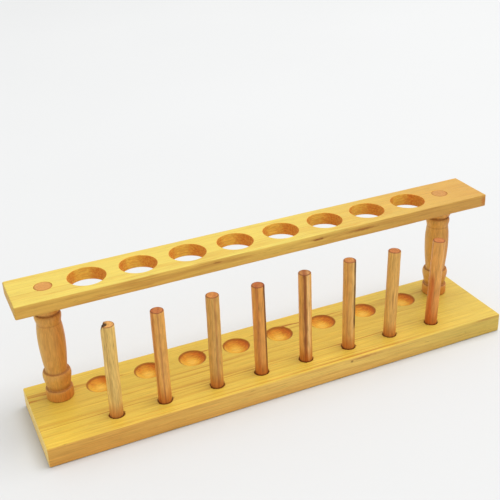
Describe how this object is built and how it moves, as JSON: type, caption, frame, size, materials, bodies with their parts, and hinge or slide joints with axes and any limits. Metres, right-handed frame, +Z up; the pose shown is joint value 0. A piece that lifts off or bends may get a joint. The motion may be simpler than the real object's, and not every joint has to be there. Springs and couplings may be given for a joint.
{
  "type": "wooden test tube rack",
  "caption": "Low wooden rack for test tubes: a base board with round dishes and upright drying pegs, and a drilled top rail on two turned posts.",
  "frame": {"origin": "on the surface that the rack stands on, under the middle of the rack's overall length and of the base's width", "axes": "+X along the rack to the right as seen from the front, where the pegs are; +Y to the back, the side of the rail and tubes; +Z up"},
  "size_m": [0.3054, 0.0634, 0.0855],
  "materials": {
    "base_wood": "clear lacquered pale softwood, straight grain along the board, satin",
    "rail_wood": "clear lacquered pale softwood, straight grain along the rail, satin",
    "post_wood": "clear lacquered turned hardwood, grain along the post, satin",
    "peg_wood": "lacquered dowel rod, grain along the peg, orange end grain, low satin"
  },
  "bodies": {
    "root": {"base_board": "base_wood", "top_rail": "rail_wood", "left_post": "post_wood", "right_post": "post_wood", "drying_peg_1": "peg_wood", "drying_peg_2": "peg_wood", "drying_peg_3": "peg_wood", "drying_peg_4": "peg_wood", "drying_peg_5": "peg_wood", "drying_peg_6": "peg_wood", "drying_peg_7": "peg_wood", "drying_peg_8": "peg_wood"}
  },
  "joints": []
}
